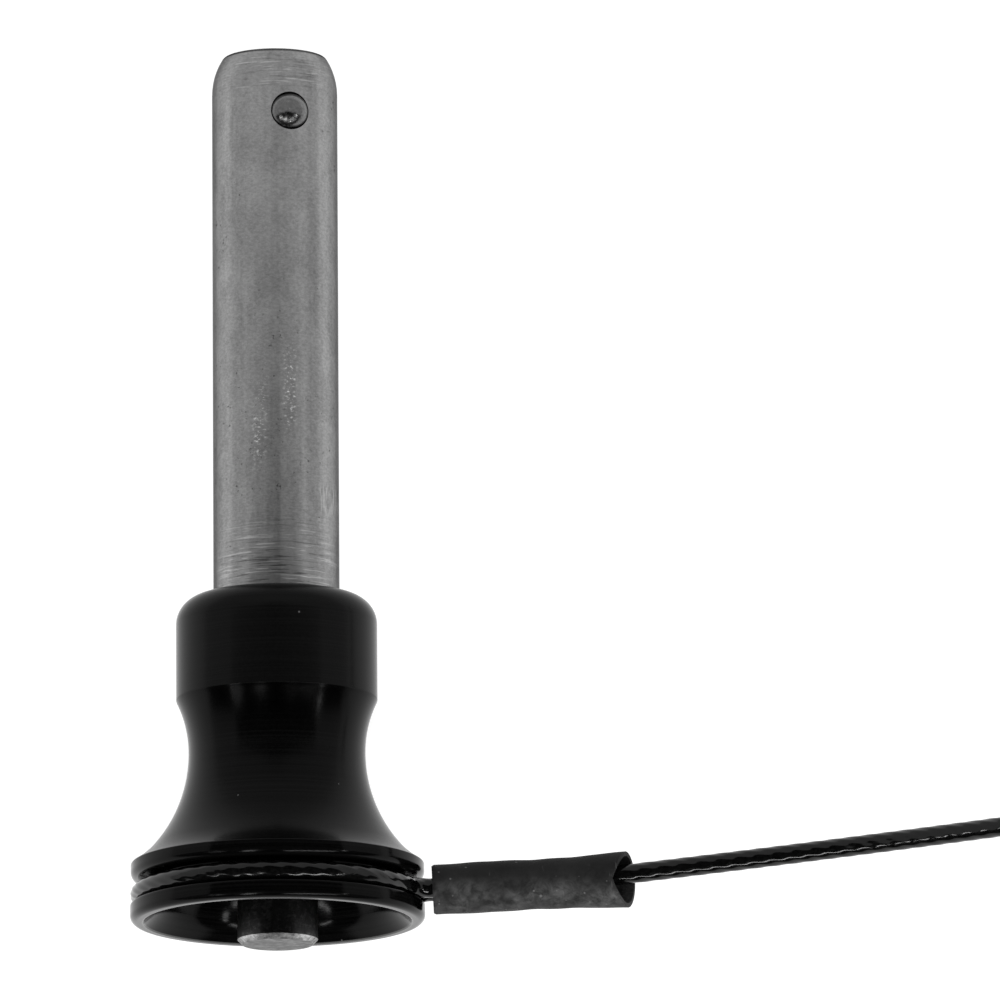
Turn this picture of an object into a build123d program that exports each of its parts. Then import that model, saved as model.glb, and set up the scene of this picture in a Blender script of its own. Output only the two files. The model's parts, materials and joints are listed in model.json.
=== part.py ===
"""Ball-lock quick-release pin for rigging loudspeakers, with its wire rope lanyard.

The pieces of the pin are turned about the pin's axis, which is their own Z: 0 is just
inside the handle's rim and the tip is at +Z. They are then laid down together, as the
pin comes to rest on a flat surface: on the handle's upper lip and the lower ball.
Millimetres. Laid down, +Y is the way the tip points and +Z is up.
"""

import os
from math import asin, atan2, cos, degrees, hypot, radians, sin, sqrt, tan

from build123d import *

os.makedirs("parts", exist_ok=True)

# ---- shank: a half-inch stainless tube, closed at the tip
SHANK_R = 6.325
TIP_Z = 88.2
LEAD_Z = 84.45  # where the tapered lead starts
TIP_FACE_R = 5.2
TIP_EDGE_R = 0.35
BORE_R = 3.5
BORE_END_Z = 86.95
TAIL_R = 5.28  # the turned-down tail that goes through the handle
TAIL_END_Z = 4.0
SEAT_Z = 27.0  # the step between tail and shank, seated inside the collar
COUNTERBORE_R = 4.15
COUNTERBORE_END_Z = 28.5
SNAP_GROOVE_R = 4.9
SNAP_GROOVE_Z = 5.2
SNAP_GROOVE_W = 1.0
TAIL_CHAMFER = 0.4

# ---- locking balls, 5/32 inch
BALL_R = 1.985
BALL_Z = 81.5
BALL_REST_R = 5.435  # from the pin's axis to a ball's centre, balls out
BALL_TURN = 15.5  # how far the ball holes are turned from the vertical, laid down
BALL_HOLE_R = 2.05
BALL_MOUTH_R = 1.95  # the staked lip that keeps a ball in its hole
BALL_LIP_FROM = 5.87  # the lip runs from this radius to the outside of the shank

# ---- spindle and what guides it
LAND_R = 3.4
LAND_EDGE = 0.25  # from a ball's centre line towards the tip
LAND_LENGTH = 2.0
SPINDLE_CHAMFER = 0.3
RAMP_ANGLE = 40.0
GROOVE_R = 2.25
GROOVE_BACK = 5.0  # from a ball's centre line back to the guide land
GUIDE_LENGTH = 4.0
STEM_R = 2.6
ROD_R = 1.98
COLLAR_LENGTH = 4.0
BUSH_END_Z = 34.0
BUSH_FLANGE = 1.2
BUSH_BORE_R = 2.1
BUSH_CHAMFER = 0.25
STOP_GAP = 0.05

# ---- button and spring
BUTTON_R = 4.025
BUTTON_OUT = 2.55  # where it ends, on the rim's side of 0
BUTTON_END_Z = 12.0
BUTTON_CHAMFER = 0.5
ROD_END_Z = 2.0
WIRE_R = 0.33
COIL_R = 3.3
COILS = 6

# ---- handle: one turned piece of aluminium
RIM_Z = -0.3
LOWER_LIP_R = 14.74
LOWER_LIP_TOP = 1.5
LOWER_LIP_ROUND = 0.7  # on the rim's side
LOWER_LIP_CHAMFER = 0.2  # on the groove's side
ROPE_SEAT_R = 12.65  # the floor of the groove that the rope lies in
GROOVE_TOP = 4.0
UPPER_LIP_R = 14.66
UPPER_LIP_ROUND = 0.8  # on the groove's side
CREST_R = 0.15  # the small round where the flare ends on the upper lip
CREST_Z = 5.45
CREST_TURN = 60.0
FLARE_FOOT_Z = 7.6  # from here to the crest the flare is a little flatter
WAIST_R = 8.85
WAIST_Z = 16.9
FLARE_R = 14.5  # the radius of the sweep from the waist down to the rim
NECK_R = 12.0  # the radius of the sweep from the waist up to the collar
COLLAR_R = 10.08
COLLAR_TOP = 32.75
COLLAR_ROUND = 2.8
MOUTH_R = 13.4
CUP_SHOULDER_R = 12.0
CUP_SHOULDER_Z = 1.45
CUP_FLOOR_R = 7.7
CUP_FLOOR_Z = 7.0
CUP_DISH = (1, -0.45)  # the way the dished cup starts, out of its floor
FIT_GAP = 0.02
WASHER_R = 7.2
WASHER_THICK = 0.8
WASHER_CHAMFER = 0.15
SNAP_RING_R = 6.4
SNAP_RING_THICK = 0.98
SNAP_RING_GAP = 60.0  # degrees left open

# ---- lanyard: coated wire rope, crimped into an eye at both ends
ROPE_R = 1.0
LOOP_R = 13.7  # the rope's centre, round the handle
LOOP_Z = 2.53
LOOP_BEND_R = 2.5  # of a strand, out of the groove and into the crimp
EXIT_R = 15.62  # where the crimp starts, from the handle's axis
EXIT_RISE = 7.48  # and how far round from the level, in degrees
CRIMP_RISE = 5.19
STRAND = 1.01  # half the distance between the two strands in a crimp
FERRULE_R = 2.03
FERRULE_START = 2.2
FERRULE_LENGTH = 10.5
FERRULE_CHAMFER = 0.3
BITE = 1.5  # how far the rope is gripped inside a ferrule's end
SLEEVE_R = 2.49
SLEEVE_MOUTH_R = 2.84
SLEEVE_WALL = 0.44
SLEEVE_CHAMFER = 0.2
SLEEVE_STRAIGHT = 13.5

# laid down: the crimp stands straight out from the handle, and ends at its sleeve's mouth
CRIMP_START = Vector(15.49, -40.11, 16.9)
CRIMP_MOUTH = Vector(34.93, -39.34, 18.6)
# the stiff rope arches over, then comes down to the surface
ROPE_ROUTE = [
    (50.5, -37.22, 19.95),
    (91.8, -30.42, 1.0),
]
HEADING = 9.2  # the way that the rope runs as it joins the wound turns, from +X
WIND_CENTRE = Vector(113.64, -15.16, 0)
WIND_OUTER_R = 11.6
WIND_INNER_R = 9.55
WIND_TOP_R = 10.575
WIND_TOP_Z = 2.74
TAIL_RUN = 9.8  # rope between the wound turns and the sleeve of the far eye
END_SLEEVE_LENGTH = 20.0
END_EYE_R = 5.9
END_EYE_BEND_R = 4.0

# ---- how the pin lies
CREST_CENTRE_R = UPPER_LIP_R - CREST_R


def resting_tilt():
    """The axis's slope, in degrees, with the upper lip and the lower ball both touching the surface."""
    run = BALL_Z - CREST_Z
    rise = CREST_CENTRE_R - BALL_REST_R * cos(radians(BALL_TURN))
    lift = BALL_R - CREST_R
    return degrees(atan2(rise, run) - asin(lift / hypot(run, rise)))


TILT = resting_tilt()
AXIS_HEIGHT = CREST_CENTRE_R * cos(radians(TILT)) + CREST_R + CREST_Z * sin(radians(TILT))
RIM_Y = -42.82  # puts the origin at the middle of the pin's length
LAID = Location((0, RIM_Y, AXIS_HEIGHT), (-90 - TILT, 0, 0))


# ---- shank
with BuildPart() as shank:
    with BuildSketch(Plane.XZ) as section:
        with BuildLine():
            Polyline(
                (0, TAIL_END_Z),
                (TAIL_R, TAIL_END_Z),
                (TAIL_R, SEAT_Z),
                (SHANK_R, SEAT_Z),
                (SHANK_R, LEAD_Z),
            )
            lead = TangentArc((SHANK_R, LEAD_Z), (TIP_FACE_R, TIP_Z), tangent=(0, 1))
            Polyline(lead @ 1, (0, TIP_Z), (0, TAIL_END_Z))
        make_face()
    revolve(axis=Axis.Z)
    fillet(shank.edges().filter_by(GeomType.CIRCLE).sort_by(Axis.Z)[-1], TIP_EDGE_R)
    chamfer(shank.edges().filter_by(GeomType.CIRCLE).sort_by(Axis.Z)[0], TAIL_CHAMFER)
    with BuildSketch(Plane.XY.offset(TAIL_END_Z)):
        Circle(BORE_R)
    extrude(amount=BORE_END_Z - TAIL_END_Z, mode=Mode.SUBTRACT)
    with BuildSketch(Plane.XY.offset(TAIL_END_Z)):
        Circle(COUNTERBORE_R)
    extrude(amount=COUNTERBORE_END_Z - TAIL_END_Z, mode=Mode.SUBTRACT)
    with BuildSketch(Plane.XY.offset(SNAP_GROOVE_Z)):
        Circle(TAIL_R + 1)
        Circle(SNAP_GROOVE_R, mode=Mode.SUBTRACT)
    extrude(amount=SNAP_GROOVE_W, mode=Mode.SUBTRACT)
    # the cross hole for the balls, and its two staked mouths
    ball_way = (sin(radians(BALL_TURN)), -cos(radians(BALL_TURN)), 0)
    ball_line = Plane((0, 0, BALL_Z), x_dir=(0, 0, 1), z_dir=ball_way)
    with BuildSketch(ball_line):
        Circle(BALL_HOLE_R)
    extrude(amount=BALL_LIP_FROM, both=True, mode=Mode.SUBTRACT)
    with BuildSketch(ball_line):
        Circle(BALL_MOUTH_R)
    extrude(amount=SHANK_R + 1, both=True, mode=Mode.SUBTRACT)

# ---- locking balls, each at the end of the cross hole
balls = {}
for name, side in (("locking_ball_upper", 1), ("locking_ball_lower", -1)):
    with BuildPart() as ball:
        with Locations(ball_line.origin + ball_line.z_dir * side * BALL_REST_R):
            Sphere(BALL_R)
    balls[name] = ball.part

# ---- spindle: the land under the balls, the groove that takes them, and the rod to the button
RAMP_LENGTH = (LAND_R - GROOVE_R) / tan(radians(RAMP_ANGLE))
LAND_Z = BALL_Z + LAND_EDGE
GUIDE_Z = BALL_Z - GROOVE_BACK
COLLAR_Z = BUSH_END_Z + STOP_GAP

with BuildPart() as spindle:
    with BuildSketch(Plane.XZ):
        with BuildLine():
            Polyline(
                (0, ROD_END_Z),
                (ROD_R, ROD_END_Z),
                (ROD_R, COLLAR_Z),
                (LAND_R, COLLAR_Z),
                (LAND_R, COLLAR_Z + COLLAR_LENGTH),
                (STEM_R, COLLAR_Z + COLLAR_LENGTH + LAND_R - STEM_R),
                (STEM_R, GUIDE_Z - GUIDE_LENGTH - LAND_R + STEM_R),
                (LAND_R, GUIDE_Z - GUIDE_LENGTH),
                (LAND_R, GUIDE_Z),
                (GROOVE_R, GUIDE_Z),
                (GROOVE_R, LAND_Z - RAMP_LENGTH),
                (LAND_R, LAND_Z),
                (LAND_R, LAND_Z + LAND_LENGTH),
                (0, LAND_Z + LAND_LENGTH),
                close=True,
            )
        make_face()
    revolve(axis=Axis.Z)
    chamfer(spindle.edges().filter_by(GeomType.CIRCLE).sort_by(Axis.Z)[-1], SPINDLE_CHAMFER)

# ---- guide bush: pressed in behind the spindle's collar, it stops the spindle and seats the spring
with BuildPart() as guide_bush:
    with BuildSketch(Plane.XY.offset(COUNTERBORE_END_Z - BUSH_FLANGE)):
        Circle(COUNTERBORE_R - FIT_GAP)
        Circle(BUSH_BORE_R, mode=Mode.SUBTRACT)
    extrude(amount=BUSH_FLANGE)
    with BuildSketch(Plane.XY.offset(COUNTERBORE_END_Z)):
        Circle(BORE_R - FIT_GAP)
        Circle(BUSH_BORE_R, mode=Mode.SUBTRACT)
    extrude(amount=BUSH_END_Z - COUNTERBORE_END_Z)
    chamfer(guide_bush.edges().group_by(Axis.Z)[-1].sort_by(SortBy.LENGTH)[-1], BUSH_CHAMFER)

# ---- button: a plain steel plug, blind bored for the rod
with BuildPart() as button:
    with BuildSketch(Plane.XY.offset(-BUTTON_OUT)):
        Circle(BUTTON_R)
    extrude(amount=BUTTON_END_Z + BUTTON_OUT)
    chamfer(button.edges().sort_by(Axis.Z)[0], BUTTON_CHAMFER)
    with BuildSketch(Plane.XY.offset(ROD_END_Z)):
        Circle(ROD_R + FIT_GAP)
    extrude(amount=BUTTON_END_Z - ROD_END_Z, mode=Mode.SUBTRACT)

# ---- return spring, between the button and the bush's flange; its round wire is drawn six-sided
SPRING_START = BUTTON_END_Z + WIRE_R
SPRING_LENGTH = COUNTERBORE_END_Z - BUSH_FLANGE - WIRE_R - SPRING_START

with BuildPart() as return_spring:
    with BuildLine() as spring_line:
        Helix(SPRING_LENGTH / COILS, SPRING_LENGTH, COIL_R, center=(0, 0, SPRING_START))
    with BuildSketch(spring_line.line ^ 0):
        RegularPolygon(WIRE_R, 6)
    sweep(is_frenet=True)

# ---- handle
with BuildPart() as handle:
    with BuildSketch(Plane.XZ):
        with BuildLine():
            flare_centre_r = WAIST_R + FLARE_R
            neck_centre_r = WAIST_R + NECK_R
            collar_edge_z = WAIST_Z + sqrt(NECK_R**2 - (neck_centre_r - COLLAR_R) ** 2)
            flare_foot_r = flare_centre_r - sqrt(FLARE_R**2 - (WAIST_Z - FLARE_FOOT_Z) ** 2)
            half_flare = degrees(asin((WAIST_Z - FLARE_FOOT_Z) / FLARE_R)) / 2
            half_neck = degrees(asin((collar_edge_z - WAIST_Z) / NECK_R)) / 2
            # the rim: lower lip, rope groove, upper lip
            face = Line((MOUTH_R, RIM_Z), (LOWER_LIP_R - LOWER_LIP_ROUND, RIM_Z))
            rim_round = TangentArc(face @ 1, (LOWER_LIP_R, RIM_Z + LOWER_LIP_ROUND), tangent=(1, 0))
            Polyline(
                rim_round @ 1,
                (LOWER_LIP_R, LOWER_LIP_TOP - LOWER_LIP_CHAMFER),
                (LOWER_LIP_R - LOWER_LIP_CHAMFER, LOWER_LIP_TOP),
                (ROPE_SEAT_R, LOWER_LIP_TOP),
                (ROPE_SEAT_R, GROOVE_TOP),
                (UPPER_LIP_R - UPPER_LIP_ROUND, GROOVE_TOP),
            )
            lip_round = TangentArc(
                (UPPER_LIP_R - UPPER_LIP_ROUND, GROOVE_TOP),
                (UPPER_LIP_R, GROOVE_TOP + UPPER_LIP_ROUND),
                tangent=(1, 0),
            )
            Line(lip_round @ 1, (UPPER_LIP_R, CREST_Z))
            crest = CenterArc((CREST_CENTRE_R, CREST_Z), CREST_R, 0, CREST_TURN)
            TangentArc(crest @ 1, (flare_foot_r, FLARE_FOOT_Z), tangent=crest % 1)
            # the flare and the neck, two concave sweeps that meet at the waist
            ThreePointArc(
                (flare_foot_r, FLARE_FOOT_Z),
                (
                    flare_centre_r - FLARE_R * cos(radians(half_flare)),
                    WAIST_Z - FLARE_R * sin(radians(half_flare)),
                ),
                (WAIST_R, WAIST_Z),
            )
            ThreePointArc(
                (WAIST_R, WAIST_Z),
                (
                    neck_centre_r - NECK_R * cos(radians(half_neck)),
                    WAIST_Z + NECK_R * sin(radians(half_neck)),
                ),
                (COLLAR_R, collar_edge_z),
            )
            # the collar, with its rounded shoulder
            side = Line((COLLAR_R, collar_edge_z), (COLLAR_R, COLLAR_TOP - COLLAR_ROUND))
            TangentArc(side @ 1, (COLLAR_R - COLLAR_ROUND, COLLAR_TOP), tangent=(0, 1))
            # the seat for the shank, the bore for its tail, and the cup
            Polyline(
                (COLLAR_R - COLLAR_ROUND, COLLAR_TOP),
                (SHANK_R + FIT_GAP, COLLAR_TOP),
                (SHANK_R + FIT_GAP, SEAT_Z),
                (TAIL_R + FIT_GAP, SEAT_Z),
                (TAIL_R + FIT_GAP, CUP_FLOOR_Z),
                (CUP_FLOOR_R, CUP_FLOOR_Z),
            )
            TangentArc(
                (CUP_FLOOR_R, CUP_FLOOR_Z),
                (CUP_SHOULDER_R, CUP_SHOULDER_Z),
                tangent=CUP_DISH,
            )
            Line((CUP_SHOULDER_R, CUP_SHOULDER_Z), (MOUTH_R, RIM_Z))
        make_face()
    revolve(axis=Axis.Z)

# ---- what holds the handle on the tail
with BuildPart() as handle_washer:
    with BuildSketch(Plane.XY.offset(CUP_FLOOR_Z - WASHER_THICK)):
        Circle(WASHER_R)
        Circle(TAIL_R + FIT_GAP, mode=Mode.SUBTRACT)
    extrude(amount=WASHER_THICK)
    chamfer(handle_washer.edges().group_by(Axis.Z)[0].sort_by(SortBy.LENGTH)[-1], WASHER_CHAMFER)

with BuildPart() as retaining_ring:
    with BuildSketch(Plane.XY.offset(SNAP_GROOVE_Z + FIT_GAP)):
        with BuildLine():
            outer = CenterArc((0, 0), SNAP_RING_R, SNAP_RING_GAP / 2, 360 - SNAP_RING_GAP)
            inner = CenterArc((0, 0), SNAP_GROOVE_R + FIT_GAP, SNAP_RING_GAP / 2, 360 - SNAP_RING_GAP)
            Line(outer @ 0, inner @ 0)
            Line(outer @ 1, inner @ 1)
        make_face()
    extrude(amount=SNAP_RING_THICK)

# ---- lanyard: rope, ferrules and shrunk sleeves
def rope_along(line):
    """A length of rope down a line."""
    with BuildPart() as rope:
        with BuildSketch(Plane(line @ 0, z_dir=line % 0)):
            Circle(ROPE_R)
        sweep(path=line)
    return rope.part


def eye_reach(radius, bend, across):
    """How far from an eye's centre a strand that leaves it lies straight."""
    return sqrt((radius + bend) ** 2 - across**2)


def eye_line(plane, radius, bend, offset, run_to):
    """The line of an eye of rope on a plane: in along one strand, round, and out along the other.

    Both strands run along the plane's X, STRAND either side of the crimp's own line. That
    line passes the eye's centre at offset, and the strands end run_to from it.
    """
    upper = offset + STRAND + bend
    lower = offset - STRAND - bend
    upper_turn = Vector(eye_reach(radius, bend, upper), offset + STRAND)
    lower_turn = Vector(eye_reach(radius, bend, lower), offset - STRAND)
    share = radius / (radius + bend)
    upper_touch = Vector(upper_turn.X, upper) * share
    lower_touch = Vector(lower_turn.X, lower) * share
    with BuildLine() as eye:
        Line((run_to, offset + STRAND), upper_turn)
        TangentArc(upper_turn, upper_touch, tangent=(-1, 0))
        ThreePointArc(upper_touch, (-radius, 0), lower_touch)
        TangentArc(lower_touch, lower_turn, tangent=(-lower_touch.Y, lower_touch.X))
        Line(lower_turn, (run_to, offset - STRAND))
    return eye.wire().moved(plane.location)


def route_line(points):
    """Straight runs joined by tangent arcs, each as large as its two runs allow."""
    corners = [Vector(*point) for point in points]
    runs = [b - a for a, b in zip(corners, corners[1:])]
    radii = [
        0.45 * min(a.length, b.length) / tan(radians(a.get_angle(b)) / 2)
        for a, b in zip(runs, runs[1:])
    ]
    print("bend radii of the rope:", [round(radius, 1) for radius in radii])
    with BuildLine() as route:
        FilletPolyline(*corners, radius=radii)
    return route.wire()


def ferrule(place):
    """The crimped metal sleeve, pressed solid round the rope."""
    with BuildPart() as crimped:
        with BuildSketch(Plane.XY.offset(FERRULE_START)):
            Circle(FERRULE_R)
        extrude(amount=FERRULE_LENGTH)
        chamfer(crimped.edges().filter_by(GeomType.CIRCLE), FERRULE_CHAMFER)
    return crimped.part.moved(place)


def shrunk_sleeve(place, length):
    """Heat-shrunk tube: tight over the ferrule, and wider towards its open end."""
    inner_r = FERRULE_R + FIT_GAP
    mouth_r = SLEEVE_MOUTH_R - SLEEVE_WALL
    ferrule_end = FERRULE_START + FERRULE_LENGTH
    with BuildPart() as sleeve:
        with BuildSketch(Plane.XZ):
            with BuildLine():
                Polyline(
                    (inner_r, 0),
                    (SLEEVE_R, 0),
                    (SLEEVE_R, SLEEVE_STRAIGHT),
                    (SLEEVE_MOUTH_R, length),
                    (mouth_r, length),
                    (inner_r, ferrule_end),
                    close=True,
                )
            make_face()
        revolve(axis=Axis.Z)
        chamfer(sleeve.edges().group_by(Axis.Z)[0].sort_by(SortBy.LENGTH)[-1], SLEEVE_CHAMFER)
    return sleeve.part.moved(place)


GRIP_REACH = FERRULE_START + BITE
GRIP_FOOT = FERRULE_START + FERRULE_LENGTH - BITE

# the eye round the handle, in the pin's own frame
rise = radians(CRIMP_RISE)
exit_turn = radians(EXIT_RISE - CRIMP_RISE)
loop_plane = Plane((0, 0, LOOP_Z), x_dir=(cos(rise), -sin(rise), 0), z_dir=(0, 0, -1))
loop_line = eye_line(
    loop_plane,
    LOOP_R,
    LOOP_BEND_R,
    EXIT_R * sin(exit_turn),
    EXIT_R * cos(exit_turn) + GRIP_REACH,
)
lanyard_loop = rope_along(loop_line)

# its crimp
crimp = Plane(CRIMP_START, x_dir=(0, 1, 0), z_dir=CRIMP_MOUTH - CRIMP_START)
loop_ferrule = ferrule(crimp.location)
loop_sleeve = shrunk_sleeve(crimp.location, (CRIMP_MOUTH - CRIMP_START).length)

# the rope from the crimp to the wound turns
heading = Vector(cos(radians(HEADING)), sin(radians(HEADING)), 0)
beside = Vector(-heading.Y, heading.X, 0)
wind_entry = WIND_CENTRE - beside * WIND_OUTER_R + Vector(0, 0, ROPE_R)
lanyard_cable = rope_along(
    route_line([crimp.origin + crimp.z_dir * GRIP_FOOT, *ROPE_ROUTE, wind_entry])
)

# the wound turns: two side by side on the surface and the third on them
with BuildPart() as lanyard_coil:
    with BuildSketch(Plane.XZ):
        for wind_r, wind_z in (
            (WIND_INNER_R, ROPE_R),
            (WIND_OUTER_R, ROPE_R),
            (WIND_TOP_R, WIND_TOP_Z),
        ):
            with Locations((wind_r, wind_z)):
                RegularPolygon(ROPE_R, 8, major_radius=False, rotation=22.5)
        make_hull()
    revolve(axis=Axis.Z)

# the far eye, beside the turns
tail_start = WIND_CENTRE + heading * WIND_TOP_R + Vector(0, 0, WIND_TOP_Z)
end_foot = WIND_CENTRE + heading * WIND_TOP_R + beside * TAIL_RUN + Vector(0, 0, SLEEVE_MOUTH_R)
end_top = end_foot + beside * END_SLEEVE_LENGTH + Vector(0, 0, SLEEVE_R - SLEEVE_MOUTH_R)
end_crimp = Plane(end_top, x_dir=(0, 0, 1), z_dir=end_foot - end_top)
end_ferrule = ferrule(end_crimp.location)
end_sleeve = shrunk_sleeve(end_crimp.location, (end_foot - end_top).length)
with BuildLine() as tail_line:
    Line(tail_start, end_crimp.origin + end_crimp.z_dir * GRIP_FOOT)
lanyard_tail = rope_along(tail_line.wire())

end_reach = eye_reach(END_EYE_R, END_EYE_BEND_R, STRAND + END_EYE_BEND_R)
end_drop = asin((SLEEVE_R - ROPE_R) / (end_reach + END_EYE_R))
end_way = beside * cos(end_drop) - Vector(0, 0, sin(end_drop))
end_plane = Plane(end_top + end_way * end_reach, x_dir=-end_way, z_dir=heading.cross(-end_way))
end_loop = rope_along(
    eye_line(end_plane, END_EYE_R, END_EYE_BEND_R, 0, end_reach + GRIP_REACH)
)

# ---- every piece, named and written: the pin's own are laid down first
PIN_PIECES = {
    "shank": shank.part,
    "spindle": spindle.part,
    "guide_bush": guide_bush.part,
    "return_spring": return_spring.part,
    "button": button.part,
    "handle": handle.part,
    "handle_washer": handle_washer.part,
    "retaining_ring": retaining_ring.part,
    "lanyard_loop": lanyard_loop,
    **balls,
}
LANYARD_PIECES = {
    "loop_ferrule": loop_ferrule,
    "loop_sleeve": loop_sleeve,
    "lanyard_cable": lanyard_cable,
    "lanyard_coil": lanyard_coil.part.moved(Location(WIND_CENTRE)),
    "lanyard_tail": lanyard_tail,
    "end_ferrule": end_ferrule,
    "end_sleeve": end_sleeve,
    "end_loop": end_loop,
}
pieces = {name: piece.moved(LAID) for name, piece in PIN_PIECES.items()} | LANYARD_PIECES
for name, piece in pieces.items():
    piece.label = name
    export_step(piece, f"parts/{name}.step")
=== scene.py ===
"""The look of the ball-lock rigging pin and its wire rope lanyard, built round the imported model.

Blender works in metres. Lengths here are in millimetres, times MM, in two frames: the
row's own, and the pin's, whose Z runs from just inside the rim (0) to the tip, whose X is
the row's X, and whose Y points down.
"""

import json
from math import acos, asin, atan2, cos, degrees, hypot, pi, radians, sin, sqrt, tan

import bmesh
import bpy
from mathutils import Matrix, Vector, noise


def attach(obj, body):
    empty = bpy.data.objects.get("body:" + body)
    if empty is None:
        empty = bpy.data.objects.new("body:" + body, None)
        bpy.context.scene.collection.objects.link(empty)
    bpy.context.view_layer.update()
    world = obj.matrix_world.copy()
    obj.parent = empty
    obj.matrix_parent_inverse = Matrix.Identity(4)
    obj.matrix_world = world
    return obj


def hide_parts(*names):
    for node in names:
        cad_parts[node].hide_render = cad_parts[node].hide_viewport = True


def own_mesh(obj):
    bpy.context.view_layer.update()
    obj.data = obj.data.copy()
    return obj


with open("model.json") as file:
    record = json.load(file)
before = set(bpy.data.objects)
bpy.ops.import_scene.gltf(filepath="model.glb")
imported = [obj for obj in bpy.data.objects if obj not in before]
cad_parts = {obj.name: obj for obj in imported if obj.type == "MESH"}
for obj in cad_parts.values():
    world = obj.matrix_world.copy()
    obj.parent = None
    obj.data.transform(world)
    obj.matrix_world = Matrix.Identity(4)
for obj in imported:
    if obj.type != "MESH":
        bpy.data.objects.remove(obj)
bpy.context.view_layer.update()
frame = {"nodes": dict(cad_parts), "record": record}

MM = 0.001
NODES = frame["nodes"]

# ---- camera
AIM = Vector((22.48, -0.41755, 10.94217)) * MM
EYE = Vector((22.48, -154.3604, 1432.6319)) * MM
ROLL = radians(0.4)
SENSOR = 36.0
LENS = 512.7
CLIP_METRES = (0.1, 10)

# ---- the pin's own frame, from the mount at the top of the collar
COLLAR_TOP = 32.75
GRIP = next(mount for mount in frame["record"]["mounts"] if mount["name"] == "grip")
TIP_WAY = Vector(GRIP["axis"]).normalized()
ACROSS = Vector((1, 0, 0))
RIM = Vector(GRIP["pos_m"]) - TIP_WAY * COLLAR_TOP * MM
PIN_AXES = Matrix((ACROSS, TIP_WAY.cross(ACROSS), TIP_WAY)).transposed()
PIN = Matrix.Translation(RIM) @ PIN_AXES.to_4x4()

# ---- handle
RIM_Z = -0.3
MOUTH_R = 13.4
LOWER_LIP_R = 14.74
LOWER_LIP_TOP = 1.5
LOWER_LIP_ROUND = 0.7
LOWER_LIP_CHAMFER = 0.2
ROPE_SEAT_R = 12.65
GROOVE_TOP = 4.0
GROOVE_FILLET = 0.15
UPPER_LIP_R = 14.66
UPPER_LIP_ROUND = 0.8
CREST_R = 0.15
CREST_Z = 5.45
CREST_TURN = 60
FLARE_FOOT_Z = 7.6
WAIST_R = 8.85
WAIST_Z = 16.9
FLARE_R = 14.5
NECK_R = 12.0
COLLAR_R = 10.08
COLLAR_ROUND = 2.8
COLLAR_EDGE_Z = WAIST_Z + sqrt(NECK_R**2 - (WAIST_R + NECK_R - COLLAR_R) ** 2)
CUP_SHOULDER = (12.0, 1.45)
CUP_FLOOR = (7.7, 7.0)
CUP_DISH = (1, -0.45)
SHANK_R = 6.325
TAIL_R = 5.28
SEAT_Z = 27.0
FIT_GAP = 0.02
EDGE_R = 0.07
MOUTH_EDGE = 0.15
COLLAR_EDGE = 0.2
NECK_SHORT = 0.5
LEAST_STEP = 0.004
HANDLE_TURNS = 256

# ---- button
BUTTON_END_Z = -2.55
BUTTON_CHAMFER = 0.5

# ---- where marks, finishes, painted glints, painted shade and painted light change: on the metal in the pin's frame, on the sleeve in the row's
COLLAR_RINGS_Z = 33.5
TIP_MARKS_Z = 85.7
TIP_EDGE_Z = 88.0
GLINTS_X = 1.5
GLINTS_Z = 51.2
GLINTS_SKEW = 1.1
SCRATCHED_X = 5.5
SCRATCHED_Z = 42.0
PIT_UNEVEN = 0.3
LIPS_Z = 2.5
LIPS_HALF = 2.9
NECK_FADE = 3.0
LIT_SIDE_Y = -39.0
LIT_SIDE_FADE = 2.2
SPOT_EDGE = 0.4

# ---- spring
SPRING_Z = (12.0, 27.3)
WIRE_R = 0.33
COIL_R = 3.3
COILS = 6
COIL_STEPS = 40
WIRE_SEGMENTS = 12

# ---- rope: six strands under a coating
ROPE_R = 1.0
STRANDS = 6
LAY = 11.4
RELIEF = 0.04
ROPE_SEGMENTS = 36
STEP = 0.25 * MM

# ---- the eye round the handle, and its crimp
LOOP_R = 13.7
LOOP_Z = 2.53
LOOP_BEND_R = 2.5
EXIT_R = 15.62
EXIT_RISE = radians(7.48)
STRAND_RISE = radians(2.0)
STRAND = 1.01
GRIP_REACH = 3.7
GRIP_FOOT = 11.2
FERRULE_R = 2.03
FERRULE_ENDS = (2.2, 12.7)
FERRULE_ROUND = 0.3
FERRULE_SEGMENTS = 48
PRESSES = 4
PRESS_DEPTH = 0.06
PRESS_MARGIN = 1
CRIMP_START = Vector((15.49, -40.11, 16.9))
CRIMP_MOUTH = Vector((34.93, -39.34, 18.6))
CRIMP_WAY = (CRIMP_MOUTH - CRIMP_START).normalized()

# ---- the free rope
ROPE_ROUTE = [(50.5, -37.22, 19.95), (91.8, -30.42, 1.0)]
HEADING = radians(9.2)
WIND_CENTRE = Vector((113.64, -15.16, 0))
WIND_OUTER_R = 11.6
WIND_INNER_R = 9.55
WIND_TOP_R = 10.575
WIND_TOP_Z = 2.74
TAIL_RUN = 9.8
POINTS_A_TURN = 16
WIND_QUARTERS = 13
# the coil's steps in, out and up: the turn where each starts, and how long it takes
WIND_INWARD = (0.72, 0.28)
WIND_OUTWARD = (1.72, 0.24)
WIND_UPWARD = (1.5, 0.24)
WIND_GAPS = (0.005, 0.045)
WAY_OUT = Vector((cos(HEADING), sin(HEADING), 0))
BESIDE = Vector((-sin(HEADING), cos(HEADING), 0))

# ---- the sleeves
SLEEVE_R = 2.49
SLEEVE_MOUTH_R = 2.84
SLEEVE_WALL = 0.44
SLEEVE_SEGMENTS = 72
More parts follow.
